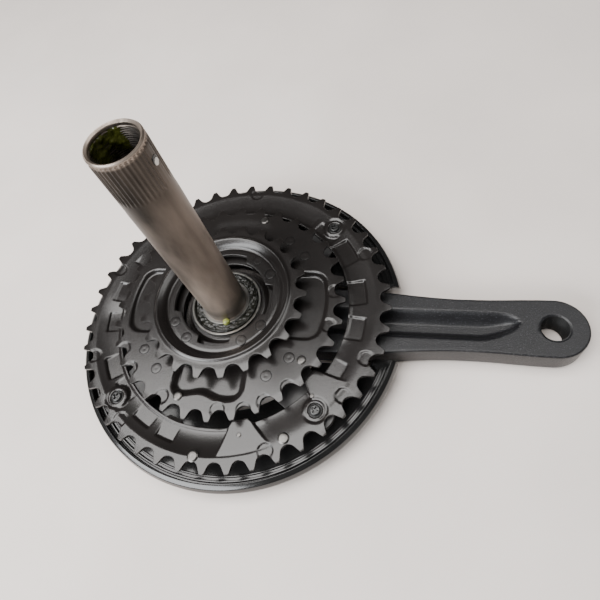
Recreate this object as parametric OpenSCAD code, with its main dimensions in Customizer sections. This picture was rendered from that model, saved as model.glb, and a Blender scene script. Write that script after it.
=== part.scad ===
// Bicycle crankset, drive side, lying on its outboard face.
// The origin is on the spindle axis at the bearing shoulder. +Z runs along
// the spindle to its free end and +X along the arm to the pedal hole.
// Heights are named so that each layer of the stack rests on the next.

/* [Spindle] */
// Outer diameter of the spindle
spindle_d = 24; // [22:0.5:26]
// Length from the bearing shoulder to the free end
spindle_l = 120; // [105:1:140]
// Diameter of the bore along the spindle
spindle_bore_d = 18; // [14:0.5:19]
// Inner diameter of the thread at the mouth
mouth_thread_d = 19.2; // [18:0.1:20]
// Depth of the thread at the mouth
mouth_thread_l = 17; // [10:1:20]
// Number of splines for the other arm
splines = 40; // [30:2:60]
// Length of the splined end
spline_l = 21; // [15:1:30]
// Diameter of the safety plate's cross hole
cross_hole_d = 3.2; // [2:0.2:4]

/* [Crank arm] */
// Spindle axis to pedal axis
arm_l = 175; // [165:2.5:180]
// Thickness of the arm at the pedal eye
arm_t = 17; // [14:0.5:20]
// Radius of the pedal eye
eye_r = 16.5; // [14:0.5:20]
// Inner diameter of the pedal thread
pedal_thread_d = 13.5; // [12:0.1:14]
// Radius of the hub around the spindle
hub_r = 19; // [17:0.5:19.5]
// Half width of the trough in the inner face
trough_w = 9.4; // [6:0.2:12]
// Depth of the trough
trough_depth = 6.5; // [3:0.5:10]

/* [Chainrings] */
// Chain pitch
pitch = 12.7; // [12.7:0.1:12.8]
// Teeth of the small ring
small_teeth = 22; // [22:1:24]
// Teeth of the middle ring
middle_teeth = 32; // [32:1:34]
// Teeth of the large ring
large_teeth = 44; // [44:1:46]
// Distance from one ring's tooth face to the next
ring_gap = 7.75; // [7:0.05:8.5]
// Sheet thickness of the small and middle rings
sheet_t = 2; // [1.6:0.1:2.4]
// Sheet thickness of the large ring
large_sheet_t = 2.4; // [2:0.1:2.6]
// Height of the tooth tips above the pitch circle
tip_h = 3.1; // [2.6:0.1:3.4]

/* [Chain guard] */
// Outer radius of the guard
guard_r = 99.3; // [98:0.1:106]
// Wall thickness of the guard
guard_wall = 2.4; // [1.8:0.1:3]
// Depth of the guard from its rim to its outboard face
guard_depth = 7.8; // [7:0.1:10]
// Radius of the guard screws' circle
screw_circle_r = 79.6; // [78:0.2:81]

/* [Hidden] */

$fn = 96;
eps = 0.01;
fit = 0.02;

// Heights of the stack
small_face_z = 7.25;
middle_face_z = small_face_z - ring_gap;
large_face_z = middle_face_z - ring_gap;
small_plate_z = 4.4;
large_band_z = large_face_z - 1.6;
spider_top_z = large_band_z - large_sheet_t;
spider_t = 3;
spider_back_z = spider_top_z - spider_t;
arm_face_z = -18;
arm_back_z = arm_face_z - arm_t;
hub_face_z = -1.6;
cap_t = 1.2;
guard_rim_z = -18.8;
guard_back_z = guard_rim_z - guard_depth;

// Spindle
spindle_r = spindle_d / 2;
press_r = spindle_r + 0.4;
press_l = 31;
spline_r = spindle_r - 0.3;
spline_groove_r = 0.42;
rim_l = 2.2;
mouth_chamfer = 1.2;
cross_hole_z = spindle_l - 10;
collar_r = spindle_r + 2;

// Arm outline
neck_x = 128;
neck_w = 15.6;
root_x = 84;
root_w = 20;
trough_x0 = 62;
trough_x1 = 150;
eye_chamfer = 0.6;

// Chainrings
seat_r = 4.2;
seat_out = 1.5;
flank_angle = 36;
small_phase = 20.07;
middle_phase = 3.4;
large_phase = 117.1;
rivet_r = 2.75;
rivet_head_r = 3.6;
rivet_head_h = 1;
spacer_r = 4.6;
small_rivet_circle_r = 29.5;
small_rivet_angle = 12.5;
middle_rivet_circle_r = 52.3;
middle_rivet_angle = 8.2;
small_opening_r = 24.5;
small_notch_r = 28.6;
small_notch_w = 19;
small_dish_r = 38.4;
middle_bore_r = 25;
pocket_r0 = 42;
pocket_r1 = 57.5;
pocket_half_angle = 22;
pocket_depth = 1.8;
pocket_wall = 1.4;
large_bore_r = 68.4;
large_band_r = 82.4;
pad_r0 = 70;
pad_r1 = 78;
pad_h = 1.2;
pad_arc = 10;
pad_angles = [10, 31.5, 68, 82, 98, 112, 173, 188, 211.5, 241.5, 254.5, 333, 353];
tab_angle = 286.5;
shift_pins_large = [[268.5, 84], [301.5, 82.9]];
locating_pins = [[285.7, 74], [318.7, 73]];
shift_pins_middle = [[77, 58.4], [255.5, 58], [326.5, 58.3]];

// Guard and screws
screw_phase = 46;
screw_r = 2.4;
screw_head_r = 2.9;
recess_l = 3.6;
recess_w = 0.9;
screw_head_h = 2.4;
screw_l = 8.8;
screw_gap = 1;
washer_r = 3.8;
washer_t = 1.1;
boss_r = 5.6;
spider_end_r = 9.6;
spider_hub_r = 37;
sleeve_r = 27.5;
guard_bore_r = 56;
slot_y0 = -22.4;
slot_y1 = 23;
end_wall = 1.8;
slot_flare = 3.4;
slot_overlap = slot_flare + 1;

function pitch_r(teeth) = pitch / (2 * sin(180 / teeth));
function polar(r, a) = [r * cos(a), r * sin(a)];
function screw_angle(i) = screw_phase + 90 * (i - 1);
// Angles of the rivet pairs, two on each diagonal
function pair_angles(half) = [for (k = [0 : 3], s = [-1, 1]) 45 + 90 * k + s * half];

// Outline of one roller seat: a round root with straight flanks
module seat_2d() {
    dx = seat_r * sin(flank_angle);
    dy = seat_r * cos(flank_angle);
    out = tip_h + 2;
    wide = dy + (out + dx) * tan(flank_angle);
    circle(r = seat_r, $fn = 48);
    polygon([[-dx, -dy], [out, -wide], [out, wide], [-dx, dy]]);
}

// Solid outline of a chainring with its teeth
module toothed_2d(teeth, phase) {
    difference() {
        circle(r = pitch_r(teeth) + tip_h, $fn = 180);
        for (k = [0 : teeth - 1])
            rotate(phase + (k + 0.5) * 360 / teeth)
                translate([pitch_r(teeth) + seat_out, 0]) seat_2d();
    }
}

// Part of an annulus between two angles under 180 degrees apart
module sector_2d(r0, r1, a0, a1) {
    far = r1 / cos((a1 - a0) / 2) + 1;
    intersection() {
        difference() {
            circle(r = r1, $fn = 180);
            circle(r = r0, $fn = 180);
        }
        polygon([[0, 0], polar(far, a0), polar(far, (a0 + a1) / 2), polar(far, a1)]);
    }
}

module ring_of(angles, r) {
    for (a = angles) rotate(a) translate([r, 0, 0]) children();
}

module at_polar(p) {
    rotate(p[1]) translate([p[0], 0, 0]) children();
}

// A tube standing on z0
module tube(r0, r1, z0, z1) {
    translate([0, 0, z0]) difference() {
        cylinder(r = r1, h = z1 - z0);
        translate([0, 0, -1]) cylinder(r = r0, h = z1 - z0 + 2);
    }
}

module spindle() {
    color("dimgray") difference() {
        union() {
            translate([0, 0, -press_l]) cylinder(r = press_r, h = press_l);
            cylinder(r = spindle_r, h = spindle_l - spline_l);
            translate([0, 0, spindle_l - spline_l])
                cylinder(r = spline_r, h = spline_l - mouth_chamfer);
            translate([0, 0, spindle_l - mouth_chamfer])
                cylinder(r1 = spline_r, r2 = spline_r - 0.9, h = mouth_chamfer);
        }
        translate([0, 0, -press_l - 1])
            cylinder(d = spindle_bore_d, h = press_l + spindle_l + 2);
        translate([0, 0, spindle_l - mouth_thread_l])
            cylinder(d = mouth_thread_d, h = mouth_thread_l + 1);
        translate([0, 0, spindle_l - 0.8])
            cylinder(d1 = mouth_thread_d, d2 = mouth_thread_d + 1.8, h = 0.81);
        for (k = [0 : splines - 1])
            rotate((k + 0.5) * 360 / splines)
                translate([spline_r + 0.06, 0, spindle_l - spline_l - eps])
                    cylinder(r = spline_groove_r, h = spline_l - rim_l, $fn = 16);
        translate([spindle_r - 8, 0, cross_hole_z])
            rotate([0, 90, 0]) cylinder(d = cross_hole_d, h = 12, $fn = 32);
    }
}

// Short pin that fills the cross hole
module spindle_pin() {
    color("white") translate([mouth_thread_d / 2 + 0.3, 0, cross_hole_z])
        rotate([0, 90, 0]) cylinder(r = cross_hole_d / 2 - fit,
            h = spline_r - mouth_thread_d / 2 - 0.4, $fn = 32);
}

module spindle_collar() {
    color("silver") tube(spindle_r + fit, collar_r, hub_face_z, 0);
}

// Outline of the arm seen along the spindle
module arm_2d() {
    circle(r = root_w);
    translate([arm_l, 0]) circle(r = eye_r);
    polygon([
        [0, -root_w], [root_x, -root_w], [neck_x, -neck_w], [arm_l, -eye_r],
        [arm_l, eye_r], [neck_x, neck_w], [root_x, root_w], [0, root_w]]);
}

module trough_2d() {
    translate([trough_x0, -trough_w]) square([trough_x1 - trough_x0, 2 * trough_w]);
    translate([trough_x1, 0]) circle(r = trough_w);
    translate([trough_x0, 0]) circle(r = trough_w);
}

module crank_arm() {
    color([0.2, 0.2, 0.22]) difference() {
        union() {
            translate([0, 0, arm_back_z]) linear_extrude(arm_t) arm_2d();
            translate([0, 0, arm_back_z]) cylinder(r = hub_r, h = hub_face_z - arm_back_z);
        }
        translate([0, 0, -press_l]) cylinder(r = press_r, h = press_l);
        translate([0, 0, arm_back_z - 1]) cylinder(r = press_r + 2, h = cap_t + 3);
        translate([0, 0, -press_l - 5]) cylinder(r = press_r - 1, h = 6);
        translate([0, 0, arm_face_z - trough_depth])
            linear_extrude(trough_depth + 1) trough_2d();
        translate([arm_l, 0, arm_back_z - 1]) cylinder(d = pedal_thread_d, h = arm_t + 2);
        for (side = [0, 1])
            translate([arm_l, 0, side == 0 ? arm_back_z : arm_face_z])
                rotate([side * 180, 0, 0]) translate([0, 0, -eps])
                    cylinder(r1 = pedal_thread_d / 2 + eye_chamfer,
                        r2 = pedal_thread_d / 2, h = eye_chamfer);
    }
}

module hub_ring() {
    color("silver") tube(hub_r + fit, hub_r + 1.3, hub_face_z - 2, hub_face_z + 0.6);
}

module hub_cap() {
    color("black") {
        translate([0, 0, arm_back_z + 0.2]) cylinder(r = press_r + 1.9, h = cap_t);
        for (k = [0 : 5])
            rotate(60 * k) translate([press_r - 2.6, 0, arm_back_z + 0.2])
                cylinder(r = 1.1, h = cap_t + 3, $fn = 24);
    }
}

// Conical sleeve pressed on the hub, with a shoulder that the spider bears on
module spider_sleeve() {
    color([0.55, 0.53, 0.5]) rotate_extrude() polygon([
        [hub_r + fit, spider_back_z], [sleeve_r, spider_back_z], [sleeve_r, spider_top_z],
        [sleeve_r + 3.5, spider_top_z], [sleeve_r - 1.5, spider_top_z + 5.6],
        [sleeve_r - 5.5, hub_face_z - 2], [hub_r + fit, hub_face_z - 2]]);
}

module spider_2d() {
    circle(r = spider_hub_r);
    for (k = [1 : 4]) rotate(screw_angle(k)) {
        polygon([[20, -14], [46, -15], [screw_circle_r + 3, -8],
            [screw_circle_r + 3, 8], [46, 15], [20, 14]]);
        translate([screw_circle_r, 0]) circle(r = spider_end_r);
    }
}

// Flat carrier with four arms
module spider() {
    color([0.16, 0.16, 0.17]) translate([0, 0, spider_back_z]) linear_extrude(spider_t)
        difference() {
            spider_2d();
            circle(r = sleeve_r + fit);
            ring_of(pair_angles(middle_rivet_angle), middle_rivet_circle_r)
                circle(r = rivet_r + fit, $fn = 48);
            for (i = [1 : 4]) rotate(screw_angle(i))
                translate([screw_circle_r, 0]) circle(r = screw_r + 0.2, $fn = 48);
        }
}

module small_opening_2d() {
    circle(r = small_opening_r);
    intersection() {
        circle(r = small_notch_r);
        union() {
            square([2 * small_notch_r, small_notch_w], center = true);
            square([small_notch_w, 2 * small_notch_r], center = true);
        }
    }
}

module small_chainring() {
    root = pitch_r(small_teeth) - seat_r + seat_out;
    color([0.2, 0.19, 0.19]) difference() {
        union() {
            translate([0, 0, small_face_z - sheet_t]) linear_extrude(sheet_t) difference() {
                toothed_2d(small_teeth, small_phase);
                circle(r = small_dish_r);
            }
            rotate_extrude() polygon([
                [20, small_plate_z], [33, small_plate_z], [37, small_face_z + 1],
                [small_dish_r, small_face_z + 1], [min(small_dish_r + 1, root), small_face_z],
                [min(small_dish_r + 1, root), small_face_z - sheet_t],
                [small_dish_r - 0.4, small_face_z - sheet_t],
                [34, small_plate_z - sheet_t], [20, small_plate_z - sheet_t]]);
        }
        linear_extrude(small_face_z + 4) small_opening_2d();
        ring_of(pair_angles(small_rivet_angle), small_rivet_circle_r)
            cylinder(r = rivet_r + fit, h = 10, $fn = 48);
    }
}

// The middle ring's sheet is pressed down into four arc pockets
module middle_chainring() {
    back_z = middle_face_z - sheet_t;
    color([0.22, 0.21, 0.21]) difference() {
        union() {
            translate([0, 0, back_z]) linear_extrude(sheet_t) difference() {
                toothed_2d(middle_teeth, middle_phase);
                circle(r = middle_bore_r);
            }
            for (k = [0 : 3])
                translate([0, 0, back_z - pocket_depth + 0.4])
                    linear_extrude(pocket_depth)
                        sector_2d(pocket_r0 - pocket_wall, pocket_r1 + pocket_wall,
                            90 * k - pocket_half_angle - 1.5, 90 * k + pocket_half_angle + 1.5);
        }
        for (k = [0 : 3])
            translate([0, 0, middle_face_z - pocket_depth])
                linear_extrude(pocket_depth + 1)
                    sector_2d(pocket_r0, pocket_r1,
                        90 * k - pocket_half_angle, 90 * k + pocket_half_angle);
        ring_of(pair_angles(middle_rivet_angle), middle_rivet_circle_r)
            translate([0, 0, back_z - 5]) cylinder(r = rivet_r + fit, h = 10, $fn = 48);
        ring_of(pair_angles(small_rivet_angle), small_rivet_circle_r)
            translate([0, 0, back_z - 5]) cylinder(r = rivet_r + fit, h = 10, $fn = 48);
        for (p = shift_pins_middle) at_polar([p[1], p[0]])
            translate([0, 0, back_z - 5]) cylinder(r = 1.5 + fit, h = 10, $fn = 32);
    }
}

// Trapezoid of raised sheet that reaches in from the tooth band
module large_tab_2d() {
    r0 = large_bore_r - 0.8;
    r1 = large_band_r + 0.6;
    polygon([polar(r0, tab_angle - 4.6), polar(r1, tab_angle - 10),
        polar(r1, tab_angle + 10), polar(r0, tab_angle + 4.6)]);
}

module large_chainring() {
    tooth_back_z = large_face_z - large_sheet_t;
    color([0.22, 0.21, 0.22]) difference() {
        union() {
            translate([0, 0, tooth_back_z]) linear_extrude(large_sheet_t) difference() {
                toothed_2d(large_teeth, large_phase);
                circle(r = large_band_r);
            }
            tube(large_bore_r, large_band_r + 1, spider_top_z, large_band_z);
            for (a = pad_angles)
                translate([0, 0, spider_top_z]) linear_extrude(large_sheet_t + pad_h)
                    sector_2d(pad_r0, pad_r1, a - pad_arc / 2, a + pad_arc / 2);
            translate([0, 0, spider_top_z])
                linear_extrude(large_face_z - spider_top_z - 0.1) large_tab_2d();
        }
        for (i = [1 : 4]) rotate(screw_angle(i))
            translate([screw_circle_r, 0, spider_top_z - 1])
                cylinder(r = screw_r + 0.2, h = 8, $fn = 48);
        for (i = [1 : 4]) rotate(screw_angle(i))
            translate([screw_circle_r, 0, large_band_z])
                cylinder(r = washer_r + 0.5, h = 4, $fn = 64);
        for (p = shift_pins_large) at_polar([p[1], p[0]])
            translate([0, 0, tooth_back_z - 3]) cylinder(r = 1.8 + fit, h = 10, $fn = 32);
        for (p = locating_pins) at_polar([p[1], p[0]])
            translate([0, 0, tooth_back_z - 3]) cylinder(r = 1 + fit, h = 10, $fn = 32);
    }
}

// A rivet with a flush front end and a flat head behind
module rivet(z_front, z_back) {
    translate([0, 0, z_back - rivet_head_h])
        cylinder(r = rivet_head_r, h = rivet_head_h, $fn = 48);
    translate([0, 0, z_back]) cylinder(r = rivet_r, h = z_front - z_back, $fn = 48);
}

module small_ring_rivets() {
    color("gray") ring_of(pair_angles(small_rivet_angle), small_rivet_circle_r)
        rivet(small_plate_z, middle_face_z - sheet_t);
}

module small_ring_spacers() {
    color("gray") ring_of(pair_angles(small_rivet_angle), small_rivet_circle_r)
        tube(rivet_r + fit, spacer_r, middle_face_z, small_plate_z - sheet_t, $fn = 48);
}

module middle_ring_rivets() {
    color("gray") ring_of(pair_angles(middle_rivet_angle), middle_rivet_circle_r)
        rivet(middle_face_z, spider_back_z);
}

module middle_ring_spacers() {
    color("gray") ring_of(pair_angles(middle_rivet_angle), middle_rivet_circle_r)
        tube(rivet_r + fit, spacer_r, spider_top_z, middle_face_z - sheet_t, $fn = 48);
}

// A pin with a low domed head that lifts the chain
module shift_pin(head_r, shank_r, z_face, z_back) {
    translate([0, 0, z_back]) cylinder(r = shank_r, h = z_face - z_back, $fn = 32);
    translate([0, 0, z_face]) cylinder(r1 = head_r, r2 = head_r - 0.5, h = 0.8, $fn = 48);
}

module middle_ring_shift_pins() {
    color("silver") for (p = shift_pins_middle) at_polar([p[1], p[0]])
        shift_pin(2.4, 1.5, middle_face_z, middle_face_z - sheet_t);
}

module large_ring_shift_pins() {
    color("silver") for (p = shift_pins_large) at_polar([p[1], p[0]])
        shift_pin(2.8, 1.8, large_face_z, large_face_z - large_sheet_t);
}

module large_ring_locating_pins() {
    color("silver") for (p = locating_pins) at_polar([p[1], p[0]])
        translate([0, 0, spider_top_z])
            cylinder(r = 1, h = large_face_z + 0.4 - spider_top_z, $fn = 32);
}

// Section of the guard: sloping rim, groove, inner rib and flat web
module guard_section(filled) {
    back = guard_back_z;
    floor_z = back + guard_wall;
    polygon(concat(
        [[guard_r - 4, guard_rim_z - 0.3], [guard_r - 3.6, guard_rim_z],
        [guard_r - 1.2, guard_rim_z - 1.2], [guard_r - 0.4, guard_rim_z - 2.6],
        [guard_r, guard_rim_z - 4.2], [guard_r, back + 1.4], [guard_r - 1.4, back]],
        filled ? [[86, back], [86, guard_rim_z - 0.6]] : [
        [guard_bore_r, back], [guard_bore_r, floor_z], [92.8, floor_z], [92.8, guard_rim_z - 3.2],
        [94, guard_rim_z - 3.2], [94, floor_z], [guard_r - 4, floor_z]]));
}

// Slab along X with one side at y = side and the given width, leaning outward below the rim
module leaning_slab(side, width, lean) {
    rotate([90, 0, 90]) linear_extrude(120) polygon([
        [side, guard_rim_z + 1], [side + width, guard_rim_z + 1], [side + width, guard_rim_z - 2.4],
        [side + width + lean, guard_back_z - 1], [side + lean, guard_back_z - 1],
        [side, guard_rim_z - 2.4]]);
}

module chain_guard() {
    color([0.06, 0.06, 0.06]) difference() {
        union() {
            difference() {
                rotate_extrude($fn = 180) guard_section(false);
                leaning_slab(slot_y0, slot_overlap - slot_y0, -slot_flare);
                leaning_slab(-slot_overlap, slot_y1 + slot_overlap, slot_flare);
            }
            intersection() {
                rotate_extrude($fn = 180) guard_section(true);
                union() {
                    leaning_slab(slot_y1, end_wall, slot_flare);
                    leaning_slab(slot_y0 - end_wall, end_wall, -slot_flare);
                }
            }
            for (i = [1 : 4]) rotate(screw_angle(i))
                translate([screw_circle_r, 0, guard_back_z + 1.5])
                    cylinder(r = boss_r, h = spider_back_z - guard_back_z - 1.5, $fn = 64);
        }
        for (i = [1 : 4]) rotate(screw_angle(i))
            translate([screw_circle_r, 0, spider_back_z - screw_l])
                cylinder(r = screw_r + fit, h = screw_l + 2, $fn = 48);
    }
}

// Screw with a low round head and a cross recess
module guard_screw(i) {
    head_z = large_band_z + washer_t;
    color("black") rotate(screw_angle(i)) translate([screw_circle_r, 0, 0]) {
        translate([0, 0, spider_back_z - screw_l + screw_gap])
            cylinder(r = screw_r, h = head_z - spider_back_z + screw_l - screw_gap, $fn = 48);
        translate([0, 0, head_z]) difference() {
            cylinder(r1 = screw_head_r, r2 = screw_head_r - 0.6, h = screw_head_h, $fn = 64);
            translate([0, 0, screw_head_h - 1.2]) {
                translate([-recess_l / 2, -recess_w / 2, 0]) cube([recess_l, recess_w, 2]);
                translate([-recess_w / 2, -recess_l / 2, 0]) cube([recess_w, recess_l, 2]);
            }
        }
    }
}

module screw_washer(i) {
    color([0.15, 0.15, 0.15]) rotate(screw_angle(i)) translate([screw_circle_r, 0, 0])
        tube(screw_r + 0.2, washer_r, large_band_z, large_band_z + washer_t, $fn = 64);
}

spindle();
spindle_pin();
spindle_collar();
crank_arm();
hub_ring();
hub_cap();
spider_sleeve();
spider();
small_chainring();
middle_chainring();
large_chainring();
small_ring_rivets();
small_ring_spacers();
middle_ring_rivets();
middle_ring_spacers();
middle_ring_shift_pins();
large_ring_shift_pins();
large_ring_locating_pins();
chain_guard();
guard_screw(1);  // guard_screw_1
guard_screw(2);  // guard_screw_2
guard_screw(3);  // guard_screw_3
guard_screw(4);  // guard_screw_4
screw_washer(1);  // screw_washer_1
screw_washer(2);  // screw_washer_2
screw_washer(3);  // screw_washer_3
screw_washer(4);  // screw_washer_4
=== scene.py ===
"""Looks of the bicycle crankset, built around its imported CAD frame.

Shapes are worked out in millimetres in the frame of the CAD model: the origin is at the
bearing shoulder, +Z along the spindle and +X along the arm. solid() turns them into metres.
"""
import math

import bmesh
import bpy
import numpy as np
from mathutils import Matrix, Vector


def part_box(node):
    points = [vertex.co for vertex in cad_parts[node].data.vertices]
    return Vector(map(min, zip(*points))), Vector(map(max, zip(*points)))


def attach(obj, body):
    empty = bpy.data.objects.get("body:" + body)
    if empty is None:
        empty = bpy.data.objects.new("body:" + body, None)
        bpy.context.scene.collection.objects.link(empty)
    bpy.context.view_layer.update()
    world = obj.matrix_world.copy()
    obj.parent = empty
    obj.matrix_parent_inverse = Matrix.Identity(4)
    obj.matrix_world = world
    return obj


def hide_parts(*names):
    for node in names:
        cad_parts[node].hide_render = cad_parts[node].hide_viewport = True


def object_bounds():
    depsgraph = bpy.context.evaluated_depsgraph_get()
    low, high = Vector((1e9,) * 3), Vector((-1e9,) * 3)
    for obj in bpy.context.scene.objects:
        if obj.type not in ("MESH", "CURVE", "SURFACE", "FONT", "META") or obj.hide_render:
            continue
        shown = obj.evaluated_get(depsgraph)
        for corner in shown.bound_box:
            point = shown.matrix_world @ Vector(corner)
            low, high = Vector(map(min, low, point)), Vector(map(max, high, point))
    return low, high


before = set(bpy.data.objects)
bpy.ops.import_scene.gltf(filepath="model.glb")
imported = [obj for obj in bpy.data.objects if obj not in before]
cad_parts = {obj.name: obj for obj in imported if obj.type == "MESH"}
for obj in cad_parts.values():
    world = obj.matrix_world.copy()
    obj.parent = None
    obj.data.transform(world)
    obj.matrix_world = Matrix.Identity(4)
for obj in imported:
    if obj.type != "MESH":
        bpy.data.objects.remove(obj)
CAD_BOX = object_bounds()
MM = 0.001
BODY = "root"


def top_mm(node):
    """Height of a CAD node's top, in millimetres."""
    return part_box(node)[1].z / MM


def bottom_mm(node):
    """Height of a CAD node's underside, in millimetres."""
    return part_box(node)[0].z / MM


# ---------------------------------------------------------------- driving sizes
# Chainrings: the chain's pitch, the counts of teeth and the angle of one tooth of each ring
PITCH = 12.7
SMALL_TEETH, MIDDLE_TEETH, LARGE_TEETH = 22, 32, 44
SMALL_PHASE, MIDDLE_PHASE, LARGE_PHASE = 20.07, 3.4, 117.1
# A gap between teeth is an arc whose centre stands a little outside the pitch circle
SEAT_R = 4.2
SEAT_OUT = 1.5
FLANK = math.radians(26)
TIP_H = 3.3
SHEET = 2.0
RIDGE_H = 1.0
SMALL_FACE = top_mm("small_chainring") - RIDGE_H
MIDDLE_FACE = top_mm("middle_chainring")
LARGE_FACE = top_mm("large_chainring")
SMALL_PLATE = top_mm("small_ring_rivets")
# The guard's screws stand in recesses of the large ring
BAND_DROP = 1.6
SCREW_CIRCLE = 79.6
SCREW_ANGLES = [46, 136, 226, 316]
# Arm and guard
ARM_FACE = -18.0
ARM_BACK = bottom_mm("crank_arm")
ARM_L = 175.0
HUB_R = 20.0
GUARD_BACK = bottom_mm("chain_guard")
GUARD_RIM = GUARD_BACK + 7.8


# ---------------------------------------------------------------- small maths
def smooth(x, a, b):
    """0 below a, 1 above b, with no kink between."""
    t = np.clip((x - a) / (b - a), 0, 1)
    return t * t * (3 - 2 * t)


def angle_gap(a, b):
    """Signed difference of two angles in degrees, within 180."""
    return (a - b + 180) % 360 - 180


def near_angle(deg, centre, full, none):
    """1 within full degrees of an angle, falling to 0 at none degrees."""
    return 1 - smooth(np.abs(angle_gap(deg, centre)), full, none)


def full_turn(count):
    """Evenly spaced angles in degrees, once round."""
    return np.arange(count) * 360 / count


def polar(radius, deg):
    """Flat place (x, y) of one radius and one angle in degrees."""
    return radius * math.cos(math.radians(deg)), radius * math.sin(math.radians(deg))


def cylindrical(r, a, z):
    """Points from radii, angles in radians and heights, which broadcast to one grid."""
    r, a, z = np.broadcast_arrays(r, a, z)
    return np.stack([r * np.cos(a), r * np.sin(a), z], -1)


def sector_mask(r, deg, centre, half, r0, r1, corner, wall):
    """1 inside a rounded part of an annulus, falling to 0 across its wall."""
    mid = (r0 + r1) / 2
    u = np.abs(np.radians(angle_gap(deg, centre))) * r - math.radians(half) * mid + corner
    v = np.abs(r - mid) - (r1 - r0) / 2 + corner
    outside = np.hypot(np.maximum(u, 0), np.maximum(v, 0)) + np.minimum(np.maximum(u, v), 0)
    return 1 - smooth(outside - corner, -wall, 0)


def spot_distance(r, deg, spot_r, spot_deg):
    """Distance from points given in polar form to one spot."""
    a = np.radians(deg)
    x, y = polar(spot_r, spot_deg)
    return np.hypot(r * np.cos(a) - x, r * np.sin(a) - y)


# ---------------------------------------------------------------- meshes
def solid(name, parts, sharp=35, body=BODY):
    """A mesh object in metres from (points, faces) parts given in millimetres."""
    verts = []
    faces = []
    for points, quads in parts:
        start = len(verts)
        verts.extend((points * MM).tolist())
        faces.extend([[start + i for i in q] for q in quads])
    mesh = bpy.data.meshes.new(name)
    mesh.from_pydata(verts, [], faces)
    mesh.validate()
    mesh.update()
    mesh.shade_smooth()
    mesh.set_sharp_from_angle(angle=math.radians(sharp))
    obj = bpy.data.objects.new(name, mesh)
    bpy.context.scene.collection.objects.link(obj)
    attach(obj, body)
    return obj


def weave(points, wrap_rows, wrap_cols):
    """Quads between the columns (first index) and rows (second index) of a grid of points."""
    n, m = points.shape[:2]
    cols = n if wrap_cols else n - 1
    rows = m if wrap_rows else m - 1
    i, j = np.meshgrid(np.arange(cols), np.arange(rows), indexing="ij")
    i2 = (i + 1) % n
    j2 = (j + 1) % m
    quads = np.stack([i * m + j, i2 * m + j, i2 * m + j2, i * m + j2], -1).reshape(-1, 4)
    return points.reshape(-1, 3), quads.tolist()


def capped(points):
    """Faces of a swept closed section with both ends filled."""
    n, m = points.shape[:2]
    verts, quads = weave(points, True, False)
    quads.append(list(range(m)))
    quads.append([(n - 1) * m + j for j in range(m - 1, -1, -1)])
    return verts, quads


def lathe(section, count=96, centre=(0, 0)):
    """A full turn of a closed section, anticlockwise in (radius, height)."""
    section = np.asarray(section, float)
    points = cylindrical(section[:, 0], np.radians(full_turn(count))[:, None], section[:, 1])
    return weave(points + np.array([*centre, 0.0]), True, True)


def rounded(section, radius, steps=4):
    """Replaces each corner of a closed section by an arc. radius is one number or a list."""
    section = [np.array(p, float) for p in section]
    out = []
    count = len(section)
    for k, p in enumerate(section):
        r = radius[k] if isinstance(radius, (list, tuple)) else radius
        a = section[k - 1] - p
        b = section[(k + 1) % count] - p
        la, lb = np.linalg.norm(a), np.linalg.norm(b)
        a, b = a / la, b / lb
        half = math.acos(np.clip(np.dot(a, b), -1, 1)) / 2
        if r <= 0 or half > math.radians(88):
            out.append(p)
            continue
        back = min(r / math.tan(half), 0.45 * la, 0.45 * lb)
        start, end = p + a * back, p + b * back
        for t in np.linspace(0, 1, steps + 1):
            out.append((1 - t) ** 2 * start + 2 * t * (1 - t) * p + t * t * end)
    return np.array(out)


# ---------------------------------------------------------------- chainrings
def pitch_radius(teeth):
    """Radius of the circle through the chain's pins."""
    return PITCH / (2 * math.sin(math.pi / teeth))


def tooth_outline(deg, teeth, phase):
    """Radius of a chainring's toothed edge at each angle."""
    step = 360 / teeth
    phi = np.radians(np.abs((deg - phase) % step - step / 2))
    centre = pitch_radius(teeth) + SEAT_OUT
    touch = np.array([centre - SEAT_R * math.sin(FLANK), SEAT_R * math.cos(FLANK)])
    way = np.array([math.cos(FLANK), math.sin(FLANK)])
    inside = np.maximum(SEAT_R ** 2 - (centre * np.sin(phi)) ** 2, 0)
    root = centre * np.cos(phi) - np.sqrt(inside)
    cross = np.cos(phi) * way[1] - np.sin(phi) * way[0]
    flank = (touch[0] * way[1] - touch[1] * way[0]) / np.maximum(cross, 1e-6)
    edge = np.where(phi < math.atan2(touch[1], touch[0]), root, flank)
    return np.minimum(edge, pitch_radius(teeth) + TIP_H)


def radial_rows(r_in, r_out, inner, outer, step):
    """Radii across the sheet: the ends follow the edges and the middle is evenly spaced."""
    middle = np.arange(inner, outer, step)
    t_in = np.linspace(0, 1, 5)[:-1]
    t_out = np.linspace(0, 1, 13)[1:]
    a = r_in[:, None] + (inner - r_in)[:, None] * t_in
    b = np.broadcast_to(middle, (len(r_in), len(middle)))
    last = middle[-1]
    c = last + (r_out - last)[:, None] * t_out
    return np.concatenate([a, b, c], 1)


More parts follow.
